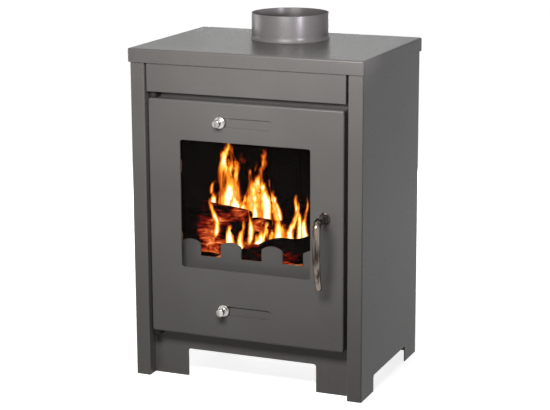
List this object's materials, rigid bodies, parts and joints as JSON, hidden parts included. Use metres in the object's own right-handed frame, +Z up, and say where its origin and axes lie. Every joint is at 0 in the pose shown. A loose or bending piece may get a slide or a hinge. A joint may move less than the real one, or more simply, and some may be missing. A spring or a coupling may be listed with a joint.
{
  "type": "multi-fuel stove",
  "caption": "Free-standing steel multi-fuel stove with a glazed hinged door, lever handle, sliding air controls and a round top flue collar.",
  "frame": {"origin": "on the floor, under the middle of the overall box, whose depth runs from the front of the door handle to the rear edge of the top plate", "axes": "+X to the right as the door is faced, +Y towards the back, +Z up"},
  "size_m": [0.47, 0.3844, 0.691],
  "materials": {
    "grey_stove_paint": "satin heat-resistant metallic anthracite paint",
    "black_stove_paint": "matt black heat-resistant paint, dulled by soot",
    "ash_pan_steel": "plain zinc-dull sheet, grey with ash",
    "cast_grate": "as-cast",
    "fire_board": "pressed vermiculite board, sooted",
    "plated_steel": "bright plated",
    "ceramic_glass": "clear ceramic glass",
    "seal_rope": "black glass-fibre rope",
    "polished_chrome": "polished"
  },
  "bodies": {
    "root": {"top_plate": "grey_stove_paint", "flue_collar": "grey_stove_paint", "side_panel_right": "grey_stove_paint", "side_panel_left": "grey_stove_paint", "front_plate": "grey_stove_paint", "fascia": "grey_stove_paint", "rear_panel": "grey_stove_paint", "rear_panel_screws": "plated_steel", "base_plate": "black_stove_paint", "firebox_side_right": "black_stove_paint", "firebox_side_left": "black_stove_paint", "firebox_back": "black_stove_paint", "firebox_roof": "black_stove_paint", "ash_floor": "black_stove_paint", "grate_frame": "black_stove_paint", "grate": "cast_grate", "side_board_right": "fire_board", "side_board_left": "fire_board", "rear_board_right": "fire_board", "rear_board_left": "fire_board", "baffle": "fire_board", "log_fence": "grey_stove_paint", "hinge_lug_upper": "black_stove_paint", "hinge_lug_lower": "black_stove_paint", "hinge_pin_upper": "black_stove_paint", "hinge_pin_lower": "black_stove_paint", "hinge_washer": "black_stove_paint"},
    "ash_pan": {"ash_pan": "ash_pan_steel", "ash_pan_grip": "ash_pan_steel"},
    "door": {"door_panel": "grey_stove_paint", "hinge_block_upper": "black_stove_paint", "hinge_block_lower": "black_stove_paint", "door_glass": "ceramic_glass", "glass_tape": "seal_rope", "glass_clips": "plated_steel", "glass_clip_screws": "plated_steel", "door_liner": "black_stove_paint", "liner_screws": "plated_steel", "door_seal": "seal_rope", "air_guides_upper": "black_stove_paint", "air_guides_lower": "black_stove_paint", "spindle_bush": "black_stove_paint", "handle_rosette": "polished_chrome"},
    "upper_slider": {"air_strip_upper": "grey_stove_paint", "air_knob_upper": "polished_chrome", "knob_nut_upper": "plated_steel"},
    "lower_slider": {"air_strip_lower": "grey_stove_paint", "air_knob_lower": "polished_chrome", "knob_nut_lower": "plated_steel"},
    "handle": {"handle_lever": "polished_chrome", "handle_spindle": "plated_steel", "latch_cam": "black_stove_paint", "cam_nut": "plated_steel"}
  },
  "joints": [
    {"name": "door_hinge", "type": "hinge", "parent": "root", "child": "door", "pos_m": [-0.188, -0.13375, 0.32], "axis": [0, 0, -1], "range_deg": [0, 110]},
    {"name": "handle_turn", "type": "hinge", "parent": "door", "child": "handle", "pos_m": [0.1585, -0.14275, 0.346], "axis": [0, -1, 0], "range_deg": [0, 90]},
    {"name": "upper_air_slide", "type": "slide", "parent": "door", "child": "upper_slider", "axis": [1, 0, 0], "range_m": [0, 0.097]},
    {"name": "lower_air_slide", "type": "slide", "parent": "door", "child": "lower_slider", "axis": [1, 0, 0], "range_m": [0, 0.089]},
    {"name": "ash_pan_slide", "type": "slide", "parent": "root", "child": "ash_pan", "axis": [0, -1, 0], "range_m": [0, 0.03]}
  ]
}
